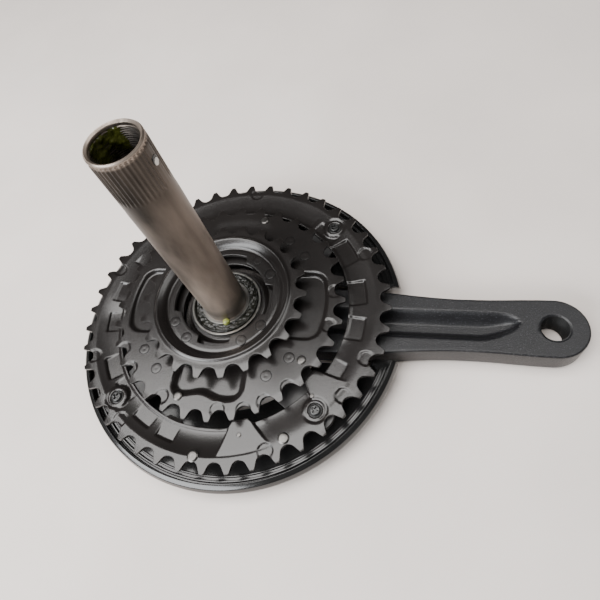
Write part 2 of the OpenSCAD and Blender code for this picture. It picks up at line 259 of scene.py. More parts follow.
def sheet_ring(name, teeth, phase, bore, height, thickness, inner, outer, per_tooth=26, step=0.6):
    """A stamped chainring: its top follows height(r, deg) and its edges are rounded."""
    deg = full_turn(teeth * per_tooth)
    r_out = tooth_outline(deg, teeth, phase)
    r_in = bore(deg)
    edge = 0.3
    rows = radial_rows(r_in + edge, r_out - edge, inner, outer, step)
    grid = deg[:, None] * np.ones_like(rows)
    top = height(rows, grid)
    back = top - thickness(rows)

    def corner(r, z, side, up):
        """Three rows round an edge. side is +1 outside and up is +1 on top."""
        return [(r + side * edge * math.sin(b), z - up * edge * (1 - math.cos(b)))
                for b in np.radians([30, 60, 90])]

    loops = corner(rows[:, 0], top[:, 0], -1, 1)[::-1]
    loops += [(rows[:, j], top[:, j]) for j in range(rows.shape[1])]
    loops += corner(rows[:, -1], top[:, -1], 1, 1)
    loops += corner(rows[:, -1], back[:, -1], 1, -1)[::-1]
    loops += [(rows[:, j], back[:, j]) for j in range(rows.shape[1] - 1, -1, -1)]
    loops += corner(rows[:, 0], back[:, 0], -1, -1)
    r = np.stack([p[0] for p in loops], 1)
    z = np.stack([p[1] for p in loops], 1)
    return solid(name, [weave(cylindrical(r, np.radians(deg)[:, None], z), True, True)], sharp=50)


def tooth_thinning(r, teeth, amount):
    """Chamfer of a tooth's face towards its tip."""
    start = pitch_radius(teeth) - 1.0
    return -amount * np.clip((r - start) / (TIP_H + 1.0), 0, 1) ** 1.3


def coined_ramp(r, deg, spot, length, depth):
    """A shallow stamped step with a round end beside a tooth. spot is (angle, radius)."""
    d = spot_distance(r, deg, spot[1], spot[0])
    return -depth * (1 - smooth(d, length - 0.45, length))


# Flat pockets of the large ring: angle, half width in degrees, inner and outer radius
PADS = [
    (10, 6.2, 67, 79.4), (31.6, 6.8, 67, 80.4), (46.8, 6.6, 67, 78), (61, 6.4, 67, 79),
    (75.2, 6.0, 67, 79), (89, 6.0, 67, 79), (103, 6.0, 67, 79), (117, 6.0, 67, 79),
    (136.5, 6.4, 67, 78), (153, 4.4, 67, 79), (173, 5.2, 67, 79.5), (188.4, 5.3, 67, 79.2),
    (211.5, 6.0, 67, 80), (224.8, 6.2, 67, 77.6), (241.6, 5.3, 67, 79.4), (254.4, 4.7, 66, 80.2),
    (333.2, 4.6, 69.6, 78.0), (353, 5.6, 67, 79.2)]
# Flat tabs across the large ring: angle, half width inside and half width outside, in degrees
TABS = [(286.5, 4.4, 9.6), (324, 4.6, 7.4)]
# Coined ramps beside the teeth: angle and radius
RAMPS_LARGE = [(294.2, 85.2), (326.4, 84.6), (342, 84.6), (234.8, 84.8), (203.6, 85.4), (163, 85),
               (27, 84.6), (89.5, 85)]
RAMPS_MIDDLE = [(210, 63.4), (222.4, 63.6), (247.4, 61.8), (278, 62), (290.4, 64.2), (300.5, 64),
                (313, 64), (349, 61.4), (8, 62), (124, 63)]
RIVET_R = 2.75
# Rivets stand in pairs: radius of their circle and half the angle between the two of a pair
SMALL_RIVETS = (29.5, 12.5)
MIDDLE_RIVETS = (52.3, 8.2)


def rivet_spots(circle):
    """Radius and angle of each of a ring's rivets, a pair on each diagonal."""
    radius, half = circle
    return [(radius, 45 + 90 * k + side * half) for k in range(4) for side in (-1, 1)]


def tab_mask(r, deg, tab):
    """Trapezoid that widens from the inner edge to the tooth band."""
    centre, narrow, wide = tab
    half = narrow + (wide - narrow) * np.clip((r - 66) / 16, 0, 1)
    off = (np.abs(angle_gap(deg, centre)) - half) * np.radians(1) * r
    return 1 - smooth(off, -0.5, 0.7)


def flattened(z, mask, level):
    """The relief z with one flat level wherever mask is 1."""
    return z * (1 - mask) + level * mask


def large_height(r, deg):
    """Relief of the large ring: a bowl inside the tooth band, pads, tabs and screw recesses."""
    bowl_r, bowl_w = 84.2, 14.2
    lip_r, lip_h = 69.6, 0.45
    tab_level, seat_level = -0.12, -0.7
    # The bowl is deep on the left and soft on the lower right, and pads at the top are short
    left = near_angle(deg, 238, 50, 64)
    top = near_angle(deg, 104, 46, 56)
    gentle = near_angle(deg, 322, 22, 34)
    drop = 1.4 + 1.6 * left
    inward = np.clip((bowl_r - r) / bowl_w, 0, 1)
    bowl = -drop * (1 - (1 - inward) ** 2)
    soft = -1.9 * (1 - smooth(r, 69.0, 84.6))
    z = bowl * (1 - gentle) + soft * gentle
    pad_level = -(drop + 0.5 * (1 - left) * (1 - top))
    for centre, half, r0, r1 in PADS:
        mask = sector_mask(r, deg, centre, half, r0, r1, 1.0, 0.9)
        z = flattened(z, mask * (1 - top * smooth(r, 70.5, 77.5)), pad_level)
    z = z + lip_h * (1 - smooth(np.abs(r - lip_r), 0.5, 1.5)) * (1 - gentle)
    for tab in TABS:
        z = flattened(z, tab_mask(r, deg, tab) * (1 - smooth(r, 82, 84)), tab_level)
    for a in SCREW_ANGLES:
        d = spot_distance(r, deg, SCREW_CIRCLE, a)
        # A sunk seat with a raised ring round the recess
        z = flattened(z, 1 - smooth(d, 5.4, 7.4), seat_level)
        z = z + 0.28 * smooth(d, 3.6, 4.1) * (1 - smooth(d, 4.7, 5.3))
        z = flattened(z, 1 - smooth(d, 3.3, 3.9), -BAND_DROP)
    for spot in RAMPS_LARGE:
        z = z + coined_ramp(r, deg, spot, 4.2, 0.55) * smooth(r, 80.6, 81.2)
    return LARGE_FACE + z + tooth_thinning(r, LARGE_TEETH, 0.45)


# Pockets of the middle ring, a quarter turn apart from +X: depth and width of the wall
POCKETS = [(2.8, 2.8), (0.5, 7.5), (2.4, 2.4), (3.4, 4.6)]
POCKET_HALF, POCKET_R0, POCKET_R1, POCKET_CORNER = 27, 34, 59.2, 7.0


def middle_height(r, deg):
    """Relief of the middle ring: four pockets, the last with a dent in its outer wall."""
    z = np.zeros_like(r)
    dent = 4.6 * np.exp(-((angle_gap(deg, 267) / 9.5) ** 2))
    for k, (depth, wall) in enumerate(POCKETS):
        shifted = r + dent if k == 3 else r
        z = z - depth * sector_mask(
            shifted, deg, 90 * k, POCKET_HALF, POCKET_R0, POCKET_R1, POCKET_CORNER, wall)
    for spot in RAMPS_MIDDLE:
        z = z + coined_ramp(r, deg, spot, 4.0, 0.5)
    return MIDDLE_FACE + z + tooth_thinning(r, MIDDLE_TEETH, 0.6)


def small_height(r, deg):
    """Relief of the small ring: a dish inside a round ridge, the same all the way round."""
    drop = SMALL_FACE - SMALL_PLATE
    z = -drop * (1 - smooth(r, 32.0, 36.8))
    z = z + RIDGE_H * np.exp(-((r - 37.9) / 1.15) ** 2)
    z = z - 0.45 * np.exp(-((r - 33.0) / 0.9) ** 2)
    return SMALL_FACE + z + tooth_thinning(r, SMALL_TEETH, 0.6)


def small_bore(deg):
    """Round opening with four wide notches."""
    notch = np.zeros_like(deg)
    for k in range(4):
        notch = np.maximum(notch, near_angle(deg, 90 * k, 17.5, 22.5))
    return 24.6 + 4.0 * notch


def large_bore(deg):
    """Round opening with a tongue behind each tab and a short one behind one of the pads."""
    r = np.full_like(deg, 68.9)
    for (centre, narrow, _), reach in zip(TABS, (2.6, 5.4)):
        r = r - reach * near_angle(deg, centre, narrow - 1.2, narrow + 0.8)
    return r - 1.8 * near_angle(deg, 254.4, 3.0, 4.6)


def build_rings():
    """The three stamped sheets, thinner towards the tips of their teeth."""
    large = sheet_ring(
        "large_ring_sheet", LARGE_TEETH, LARGE_PHASE, large_bore, large_height,
        lambda r: SHEET + 0.4 * smooth(r, 80, 84) - 0.9 * smooth(r, 88, 92), 70.0, 84.6)
    middle = sheet_ring(
        "middle_ring_sheet", MIDDLE_TEETH, MIDDLE_PHASE, lambda deg: np.full_like(deg, 25.2),
        middle_height, lambda r: SHEET - 0.8 * smooth(r, 64, 68), 27.0, 60.6)
    small = sheet_ring(
        "small_ring_sheet", SMALL_TEETH, SMALL_PHASE, small_bore, small_height,
        lambda r: SHEET - 0.8 * smooth(r, 44, 47.5), 29.4, 40.2, 30, 0.5)
    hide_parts("large_chainring")
    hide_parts("middle_chainring")
    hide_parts("small_chainring")
    for obj in (large, middle, small):
        obj.data.materials.append(MATERIALS["ring"])


# ---------------------------------------------------------------- spindle
SPINDLE_R = 12.0
PRESS_R = 12.4
SPINDLE_BORE = 9.0
SPINDLE_RIM = 120.0
# The threaded mouth is wider than the bore
MOUTH_R = 10.1
MOUTH_Z = 102.5
SPLINES = 40
SPLINE_Z0 = 99.0
SPLINE_Z1 = 117.6
BEAD_Z = 118.0


def build_spindle():
    """The hollow spindle, with splines, a row of beads below the rim and thread in its mouth."""
    deg = full_turn(SPLINES * 12)
    wave = 0.5 + 0.5 * np.cos(np.radians(deg * SPLINES))
    valley, neck_depth, bead_h, thread_h = 0.42, 0.6, 0.6, 0.34
    # Heights of the rows, closer together wherever the outline bends
    outer_z = np.concatenate([
        [-31, -30.4, -1, -0.02, 0.02, 0.6], np.linspace(6, 90, 22),
        np.linspace(92, 98, 14), np.linspace(99, 116, 24), np.linspace(116.3, 118.6, 14),
        [119.0, 119.4, 119.7, 119.9, SPINDLE_RIM]])
    inner_z = np.concatenate([
        [SPINDLE_RIM, 119.8, 119.5, 119.2, 118.9], np.linspace(118.6, 103.2, 150),
        [102.8, 102.4], np.linspace(100, -30, 14), [-31]])

    def outer_r(z):
        base = np.where(z < 0, PRESS_R, SPINDLE_R)
        top = SPINDLE_R - 0.1 - 0.7 * smooth(z, 119.0, SPINDLE_RIM) ** 1.4
        return np.where(z > 91, np.minimum(base, top), base)

    def inner_r(z):
        mouth = MOUTH_R + 0.9 * smooth(z, 119.2, SPINDLE_RIM)
        return np.where(z > MOUTH_Z, mouth, SPINDLE_BORE)

    a = np.radians(deg)[:, None]
    zo = outer_z[None, :]
    # Valleys between the splines run out at both ends and fade beside the cross hole
    start = smooth(zo, SPLINE_Z0 - 1.5, SPLINE_Z0 + 1.5)
    end = 1 - smooth(zo, SPLINE_Z1 - 0.9, SPLINE_Z1)
    flat = 1 - 0.85 * near_angle(deg, 2, 7, 13)
    ro = outer_r(zo) - valley * start * end * (1 - wave[:, None]) ** 0.8 * flat[:, None]
    # Each crest ends in a bead that stands in a neck
    neck = neck_depth * np.exp(-((zo - BEAD_Z) / 0.75) ** 2)
    bead = bead_h * wave[:, None] ** 3 * np.exp(-((zo - BEAD_Z) / 0.42) ** 2)
    ro = ro - neck + bead
    zi = inner_z[None, :]
    turn = (zi - deg[:, None] / 360) % 1.0
    ends = smooth(zi, 103, 104.5) * (1 - smooth(zi, 117.6, 118.8))
    ri = inner_r(zi) + thread_h * (1 - np.abs(2 * turn - 1)) * ends
    points = np.concatenate([cylindrical(ro, a, zo), cylindrical(ri, a, zi)], 1)
    obj = solid("spindle_tube", [weave(points, True, True)], sharp=60)
    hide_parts("spindle")
    obj.data.materials.append(MATERIALS["spindle"])


def build_hub_grease():
    """Lumpy grease packed round the foot of the spindle."""
    deg = np.arange(0, 360, 1.2)
    r = np.linspace(12.1, 18.9, 46)
    a = np.radians(deg)[:, None]
    rr = r[None, :]
    rng = np.random.default_rng(7)
    lumps = np.zeros((len(deg), len(r)))
    for _ in range(520):
        lr = rng.uniform(13.2, 18.6)
        la = rng.uniform(0, 2 * math.pi)
        size = rng.uniform(0.25, 0.7)
        d2 = (rr * np.cos(a) - lr * math.cos(la)) ** 2 + (rr * np.sin(a) - lr * math.sin(la)) ** 2
        lumps = lumps + rng.uniform(-0.8, 0.9) * size * np.exp(-d2 / size ** 2)
    floor = top_mm("spindle_collar") - 0.9
    z = floor + 1.0 * smooth(rr, 17.4, 18.4) - 0.6 * smooth(rr, 18.4, 18.9)
    z = z + lumps * smooth(rr, 12.2, 13.4)
    top = cylindrical(rr, a, z)
    low = cylindrical(rr, a, floor - 1.2)
    points = np.concatenate([top, low[:, ::-1, :]], 1)
    obj = solid("hub_grease", [weave(points, True, True)], sharp=70)
    obj.data.materials.append(MATERIALS["grease"])
    blob = rounded([(0.02, floor + 0.5), (2.2, floor + 0.5), (1.7, floor + 2.2), (0.8, floor + 2.7),
                    (0.02, floor + 2.8)], 0.4)
    spot = solid("grease_spot", [lathe(blob, 40, (3.4, -12.6))])
    spot.data.materials.append(MATERIALS["fresh_grease"])


def build_mouth_grease():
    """Grease smeared over the far side of the thread in the spindle's mouth."""
    deg0, deg1 = 96, 205
    z0, z1 = 104, 118.4
    mm_per_degree = 0.17
    deg = np.linspace(deg0, deg1, 90)
    z = np.linspace(z0, z1, 60)
    rng = np.random.default_rng(11)
    wave = np.zeros((len(deg), len(z)))
    for _ in range(160):
        along = (deg[:, None] - rng.uniform(deg0, deg1)) * mm_per_degree
        up = z[None, :] - rng.uniform(z0, z1)
        wave = wave + rng.uniform(0.2, 1.0) * np.exp(-(along ** 2 + up ** 2) / rng.uniform(0.4, 1.6) ** 2)
    # The smear thins out towards all four of its edges
    fade = smooth(deg, deg0, 112)[:, None] * (1 - smooth(deg, 186, deg1))[:, None]
    fade = fade * (smooth(z, z0, 108) * (1 - smooth(z, 117.0, z1)))[None, :]
    skin = MOUTH_R + 0.4 - (0.2 + 0.28 * wave) * fade
    a = np.radians(deg)[:, None]
    front = cylindrical(skin, a, z)
    behind = cylindrical(MOUTH_R + 0.9, a, z)
    obj = solid("mouth_grease", [capped(np.concatenate([front, behind[:, ::-1, :]], 1))])
    obj.data.materials.append(MATERIALS["mouth_grease"])


# ---------------------------------------------------------------- arm
def arm_half_width(x):
    """Half the arm's width: widest at the hub, with a waist before the pedal eye."""
    return HUB_R - 4.5 * smooth(x, 62, 132) + 0.95 * smooth(x, 138, 172)


def arc(centre_x, radius, start, end, count):
    """Points of an arc about a place on the X axis, without its two ends."""
    return [(centre_x + radius * math.cos(t), radius * math.sin(t))
            for t in np.linspace(start, end, count)[1:-1]]


def arm_outline():
    """Points round the arm's edge, anticlockwise."""
    xs = np.linspace(0, ARM_L, 150)
    lower = np.stack([xs, -arm_half_width(xs)], 1)
    eye = arc(ARM_L, float(arm_half_width(ARM_L)), -math.pi / 2, math.pi / 2, 66)
    upper = np.stack([xs[::-1], arm_half_width(xs[::-1])], 1)
    hub = arc(0, HUB_R, math.pi / 2, 1.5 * math.pi, 50)
    return np.concatenate([lower, eye, upper, hub])


def trough_depth(x, y):
    """Depth of the long hollow in the inner face, a flat-bottomed valley that ends in a point."""
    depth, half_width = 7.2, 9.6
    taper_x, tip_x = 135.0, 157.6
    t = np.clip((x - taper_x) / (tip_x - taper_x), 0, 0.9999)
    half = half_width * np.sqrt(1 - t ** 2)
    centre_y = 2.6 * smooth(x, 138, 158) - 0.4
    profile = 1 - smooth(np.abs(y - centre_y) / half, 0.22, 0.95)
    fade = smooth(x, 40.0, 54.0) * (half / half_width) ** 0.8
    return depth * profile * fade * (x < tip_x)


def edge_drop(d, r):
    """How far a rounded edge of radius r lies below the face at a distance d from the edge."""
    t = np.clip(1 - d / r, 0, 1)
    return r * (1 - np.sqrt(np.maximum(1 - t * t, 0)))


def nearest_on_spine(edge):
    """The nearest point of the arm's middle line to each edge point."""
    return np.stack([np.clip(edge[:, 0], 0, ARM_L), 0 * edge[:, 0]], 1)


def inner_loop(edge, unit, pedal_r, hub_hole):
    """The place that each edge point faces: round both holes and along the spine between them."""
    centre = nearest_on_spine(edge)
    inner = centre.copy()
    for hole_x, hole_r in ((ARM_L, pedal_r), (0.0, hub_hole)):
        dx = centre[:, 0] - hole_x
        near = np.abs(dx) < hole_r
        rise = np.sqrt(np.maximum(hole_r ** 2 - dx ** 2, 0))
        past = (edge[:, 0] > ARM_L) if hole_x > 0 else (edge[:, 0] < 0)
        inner[near] = np.stack([centre[:, 0], np.sign(edge[:, 1]) * rise], 1)[near]
        inner[past] = np.array([hole_x, 0.0]) + unit[past] * hole_r
    return inner


def build_arm():
    """The forged arm with its trough and pedal eye, and the round tower of its hub."""
    pedal_r, hub_hole = 7.15, 14.3
    fillet, back_fillet = 1.1, 3.4
    crown_h = 0.9
    edge = arm_outline()
    away = edge - nearest_on_spine(edge)
    unit = away / np.linalg.norm(away, axis=1)[:, None]
    inner = inner_loop(edge, unit, pedal_r, hub_hole)
    # Rows from the edge to the inner loop, closest together over the rounded edge
    rows = np.concatenate([[0, 0.004, 0.012, 0.025, 0.04, 0.06, 0.085, 0.115, 0.15, 0.19],
                           np.linspace(0.23, 1, 30)])
    pts = edge[:, None, :] + (inner - edge)[:, None, :] * rows[None, :, None]
    x, y = pts[..., 0], pts[..., 1]
    depth_in = np.linalg.norm(pts - edge[:, None, :], axis=2)
    hole_d = np.hypot(x - ARM_L, y) - pedal_r
    chamfer = 0.5 * (1 - smooth(hole_d, 0, 0.9))
    top = ARM_FACE - edge_drop(depth_in, fillet) - trough_depth(x, y) - chamfer
    crown = crown_h * (1 - np.clip(np.abs(y) / 22, 0, 1) ** 2) * smooth(x, 20, 60)
    back = ARM_BACK + crown_h + edge_drop(depth_in, back_fillet) - crown + chamfer
    points = np.concatenate([
        np.stack([x, y, top], -1)[:, ::-1, :],
        np.stack([x, y, back], -1)], 1)
    verts, quads = weave(points, True, True)
    on_spine = np.abs(verts[:, 1]) < 1e-6
    shell = (verts, [q for q in quads if not all(on_spine[q])])
    # The tower of the hub stands round the spindle, with a chamfer inside its mouth
    tower = lathe(rounded([
        (12.45, ARM_BACK + 3), (19.0, ARM_BACK + 3), (19.0, -2.2), (18.2, -1.6), (13.9, -1.6),
        (13.7, -2.4), (12.45, -2.4)], 0.4), 128)
    obj = solid("arm_forging", [shell, tower], sharp=42)
    # Joins the two halves of the faces along the spine
    mesh = bmesh.new()
    mesh.from_mesh(obj.data)
    bmesh.ops.remove_doubles(mesh, verts=mesh.verts, dist=1e-6)
    mesh.to_mesh(obj.data)
    mesh.free()
    obj.data.shade_smooth()
    obj.data.set_sharp_from_angle(angle=math.radians(42))
    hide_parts("crank_arm")
    obj.data.materials.append(MATERIALS["arm"])
    pedal_thread(pedal_r)


def pedal_thread(mouth_r):
    """The thread inside the pedal eye, a fine helix."""
    crest_r, groove, pitch = 6.75, 0.38, 1.27
    deg = full_turn(72)[:, None]
    z = np.linspace(ARM_BACK + 1.0, ARM_FACE - 0.8, 120)
    turn = (z / pitch - deg / 360) % 1.0
    wall = cylindrical(crest_r + groove * np.abs(2 * turn - 1), np.radians(deg), z)
    skin = cylindrical(mouth_r + 1.2, np.radians(deg), z)
    points = np.concatenate([wall, skin[:, ::-1, :]], 1) + np.array([ARM_L, 0, 0])
    obj = solid("pedal_thread", [weave(points, True, True)], sharp=70)
    obj.data.materials.append(MATERIALS["thread"])


# ---------------------------------------------------------------- guard
# The slot for the arm runs between two planes along X, and its ends lean away below the rim
SLOT_LOW, SLOT_HIGH = -22.4, 23.0
SLOT_LEAN = 3.4
END_WALL = 1.9
GUARD_R = 99.3
GUARD_BORE = 56.0


def guard_angles(r, low_y, high_y, count):
    """Angles from one plane end of the guard round to the other, for each radius."""
    a0 = np.arcsin(high_y / r)
    a1 = 2 * math.pi + np.arcsin(low_y / r)
    t = np.linspace(0, 1, count)[:, None]
    return a0 + (a1 - a0) * t


def slot_lean(section):
    """How far the slot's ends stand back at each height of a section."""
    top = GUARD_RIM - 2.4
    return SLOT_LEAN * smooth(top - section[:, 1], 0, top - GUARD_BACK)[None, :]


def rib(r0, r1, low, high):
    """Corners of a thin upright rib in the section of the channel."""
    return [(r0, low), (r0, high), (r1, high), (r1, low)]


def build_guard():
    """The plastic guard: a turned channel with a slot for the arm, end walls and screw bosses."""
    rim, back = GUARD_RIM, GUARD_BACK
    floor_z = back + 2.4
    outside = [(GUARD_R - 4.0, rim - 0.4), (GUARD_R - 3.6, rim), (GUARD_R - 1.2, rim - 1.2),
               (GUARD_R - 0.1, rim - 4.2), (GUARD_R - 0.1, back + 1.6), (GUARD_R - 1.6, back)]
    rounds = [0.2, 0.5, 1.0, 1.4, 0.8, 0.6]
    ribs = rib(90.4, 91.3, floor_z, rim - 4.4) + rib(92.9, 94.0, floor_z, rim - 3.2)
    channel = rounded(
        outside + [(GUARD_BORE, back), (GUARD_BORE, floor_z)] + ribs + [(GUARD_R - 4.0, floor_z)],
        rounds + [0.8, 0.8, 0.3, 0.25, 0.25, 0.3, 0.3, 0.3, 0.3, 0.3, 0.3], 4)
    lean = slot_lean(channel)
    a = guard_angles(channel[:, 0][None, :], SLOT_LOW - lean, SLOT_HIGH + lean, 481)
    parts = [capped(cylindrical(channel[:, 0], a, channel[:, 1]))]
    wall = rounded(outside + [(86, back + 0.1), (86, rim - 0.6)], rounds + [0.8, 0.5], 4)
    lean = slot_lean(wall)
    r = wall[:, 0][None, :]
    t = np.linspace(0, 1, 5)[:, None]
    for low in (SLOT_LOW - END_WALL - lean, SLOT_HIGH + lean):
        start, end = np.arcsin(low / r), np.arcsin((low + END_WALL) / r)
        parts.append(capped(cylindrical(r, start + (end - start) * t, wall[:, 1])))
    spider_back = bottom_mm("spider")
    boss = rounded([(2.45, back + 1.4), (6.2, back + 1.4), (5.6, spider_back), (2.45, spider_back)], 0.4)
    parts += [lathe(boss, 48, polar(SCREW_CIRCLE, angle)) for angle in SCREW_ANGLES]
    obj = solid("guard_shell", parts, sharp=40)
    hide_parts("chain_guard")
    obj.data.materials.append(MATERIALS["guard"])


# ---------------------------------------------------------------- fasteners
def cross_recess(deg, r):
    """1 inside a cross-shaped socket with four blunt wings."""
    wing_l, wing_w, hub_r = 1.75, 0.5, 0.8
    a = np.radians(deg)[:, None]
    x, y = np.abs(r * np.cos(a)), np.abs(r * np.sin(a))
    wing = np.minimum(np.maximum(x - wing_l, y - wing_w), np.maximum(y - wing_l, x - wing_w))
    return 1 - smooth(np.minimum(wing, r - hub_r), -0.12, 0.12)


def build_rivets():
    """Rivet heads set flush in the sheet, each with a thin black ring of painted shade round it that stands
    for a fine groove.
    """
    for name, node, circle, z in (
            ("small_flush_rivets", "small_ring_rivets", SMALL_RIVETS, SMALL_PLATE),
            ("middle_flush_rivets", "middle_ring_rivets", MIDDLE_RIVETS, MIDDLE_FACE)):
        low = bottom_mm(node)
        shank = rounded([(0.02, low), (3.6, low), (3.6, low + 1.0), (RIVET_R - 0.3, low + 1.0),
                         (RIVET_R, z - 0.9), (RIVET_R, z + 0.1), (0.02, z + 0.1)], 0.07)
        # The groove is a black ring whose top stands just above the flat sheet: painted shade, not a cut
        groove = rounded([(RIVET_R - 0.3, z - 0.5), (RIVET_R + 0.3, z - 0.5),
                          (RIVET_R + 0.3, z + 0.03), (RIVET_R - 0.3, z + 0.03)], 0.02, 2)
        spots = [polar(*spot) for spot in rivet_spots(circle)]
        obj = solid(name, [lathe(shank, 48, c) for c in spots])
        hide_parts(node)
        obj.data.materials.append(MATERIALS["ring"])
        shade_rings = solid(name.replace("rivets", "rivet_shade_rings"), [lathe(groove, 48, c) for c in spots])
        shade_rings.data.materials.append(MATERIALS["groove_shade"])


# Name, CAD node, places (radius, angle), radius of the head and height of its coned part
PIN_SETS = (
    ("large_domed_pins", "large_ring_shift_pins", ((84.0, 268.5), (82.9, 301.5)), 3.0, 1.2),
    ("locating_stubs", "large_ring_locating_pins", ((74.0, 285.7), (73.0, 318.7)), 1.15, 0.35),
    ("middle_domed_pins", "middle_ring_shift_pins", ((58.4, 77.0), (58.0, 255.5), (58.3, 326.5)), 2.4, 0.9))


def build_pins():
    """Round pins that catch the chain, each with a coned edge and a shallow dome."""
    for name, node, places, r, rise in PIN_SETS:
        low, high = bottom_mm(node), top_mm(node)
        section = rounded([
            (0.02, low), (r * 0.8, low), (r * 0.8, high - rise), (r, high - rise),
            (r, high - rise * 0.45), (r * 0.72, high - rise * 0.1), (r * 0.4, high - 0.02),
            (0.02, high)], 0.14)
        obj = solid(name, [lathe(section, 48, polar(*place)) for place in places], sharp=45)
        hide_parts(node)
        obj.data.materials.append(MATERIALS["pin"])


def build_spindle_pin():
    """The end of the cross pin, pale so that it paints the bright spot in the cross hole as a highlight,
    low in a black seat disc of painted shade for the hole's dark upper part.
    """
    def disc(r, x0, x1, z):
        """A short round bar along X."""
        verts, quads = lathe(rounded([(0.02, x0), (r, x0), (r, x1), (0.02, x1 + 0.05)], 0.12), 40)
        return np.stack([verts[:, 2], verts[:, 1], z - verts[:, 0]], 1), quads

    z = (top_mm("spindle_pin") + bottom_mm("spindle_pin")) / 2
    # Pale pin end: painted highlight of the lit lower part of the cross hole
    pin = solid("cross_pin_highlight", [disc(1.45, 9.6, 12.12, z - 0.5)])
    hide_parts("spindle_pin")
    pin.data.materials.append(MATERIALS["pin_highlight"])
    # Black seat disc: painted shade of the dark upper part of the cross hole
    seat = solid("cross_pin_shade", [disc(1.95, 9.6, 12.03, z + 0.4)])
    seat.data.materials.append(MATERIALS["guard"])


def cross_screw(head_z, end_z, slot_angle, centre):
    """A low round head with a cross socket on a plain shank, from head_z down to end_z."""
    socket_depth, shank_r = 1.2, 2.4
    deg = full_turn(96)
    a = np.radians(deg)[:, None]
    r = np.concatenate([[0.02], np.linspace(0.12, 2.1, 28), [2.25, 2.4, 2.55, 2.7, 2.8, 2.8]])
    rise = np.concatenate([np.full(29, 1.5), [1.48, 1.4, 1.28, 1.08, 0.8, 0.0]])
    head = cylindrical(r, a, head_z + rise - socket_depth * cross_recess(deg - slot_angle, r))
    shank = cylindrical(shank_r, a, np.array([head_z, end_z]))
    points = np.concatenate([head, shank], 1) + np.array([*centre, 0.0])
    n, m = points.shape[:2]
    verts, quads = weave(points, False, True)
    quads.append([i * m + m - 1 for i in range(n)][::-1])
    quads.append([i * m for i in range(n)])
    return verts, quads


def build_screws():
    """A cup washer and a cross-head screw in each recess of the large ring."""
    z = LARGE_FACE - BAND_DROP
    cup_sheet = 0.5
    cup = rounded([(2.5, z), (3.75, z), (3.75, z + cup_sheet), (3.3, z + 0.8),
                   (3.1, z + cup_sheet), (2.5, z + cup_sheet)], 0.12)
    for k, angle in enumerate(SCREW_ANGLES, 1):
        centre = polar(SCREW_CIRCLE, angle)
        washer = solid(f"cup_washer_{k}", [lathe(cup, 72, centre)])
        screw = solid(f"cross_screw_{k}", [
            cross_screw(z + cup_sheet + 0.02, bottom_mm(f"guard_screw_{k}"), angle + 20, centre)])
        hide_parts(f"screw_washer_{k}")
        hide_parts(f"guard_screw_{k}")
        for obj in (washer, screw):
            obj.data.materials.append(MATERIALS["screw"])


# ---------------------------------------------------------------- materials
def painted_light_by_height(nt, place, base, along):
    """Paints light and shade into a colour: multiplies it by a factor that changes with height, given as
    (metres, factor) stops.
    """
    split = nt.nodes.new("ShaderNodeSeparateXYZ")
    nt.links.new(place.outputs["Object"], split.inputs["Vector"])
    low, high = along[0][0], along[-1][0]
    span = nt.nodes.new("ShaderNodeMapRange")
    span.inputs["From Min"].default_value = low
    span.inputs["From Max"].default_value = high
    nt.links.new(split.outputs["Z"], span.inputs["Value"])
    shade = nt.nodes.new("ShaderNodeValToRGB")
    stops = shade.color_ramp.elements
    while len(stops) < len(along):
        stops.new(0.5)
    for stop, (z, factor) in zip(stops, along):
        stop.position = (z - low) / (high - low)
        stop.color = (factor, factor, factor, 1)
    nt.links.new(span.outputs["Result"], shade.inputs["Fac"])
    mix = nt.nodes.new("ShaderNodeMix")
    mix.data_type = "RGBA"
    mix.blend_type = "MULTIPLY"
    mix.inputs["Factor"].default_value = 1.0
    nt.links.new(base, mix.inputs["A"])
    nt.links.new(shade.outputs["Color"], mix.inputs["B"])
    return mix.outputs["Result"]


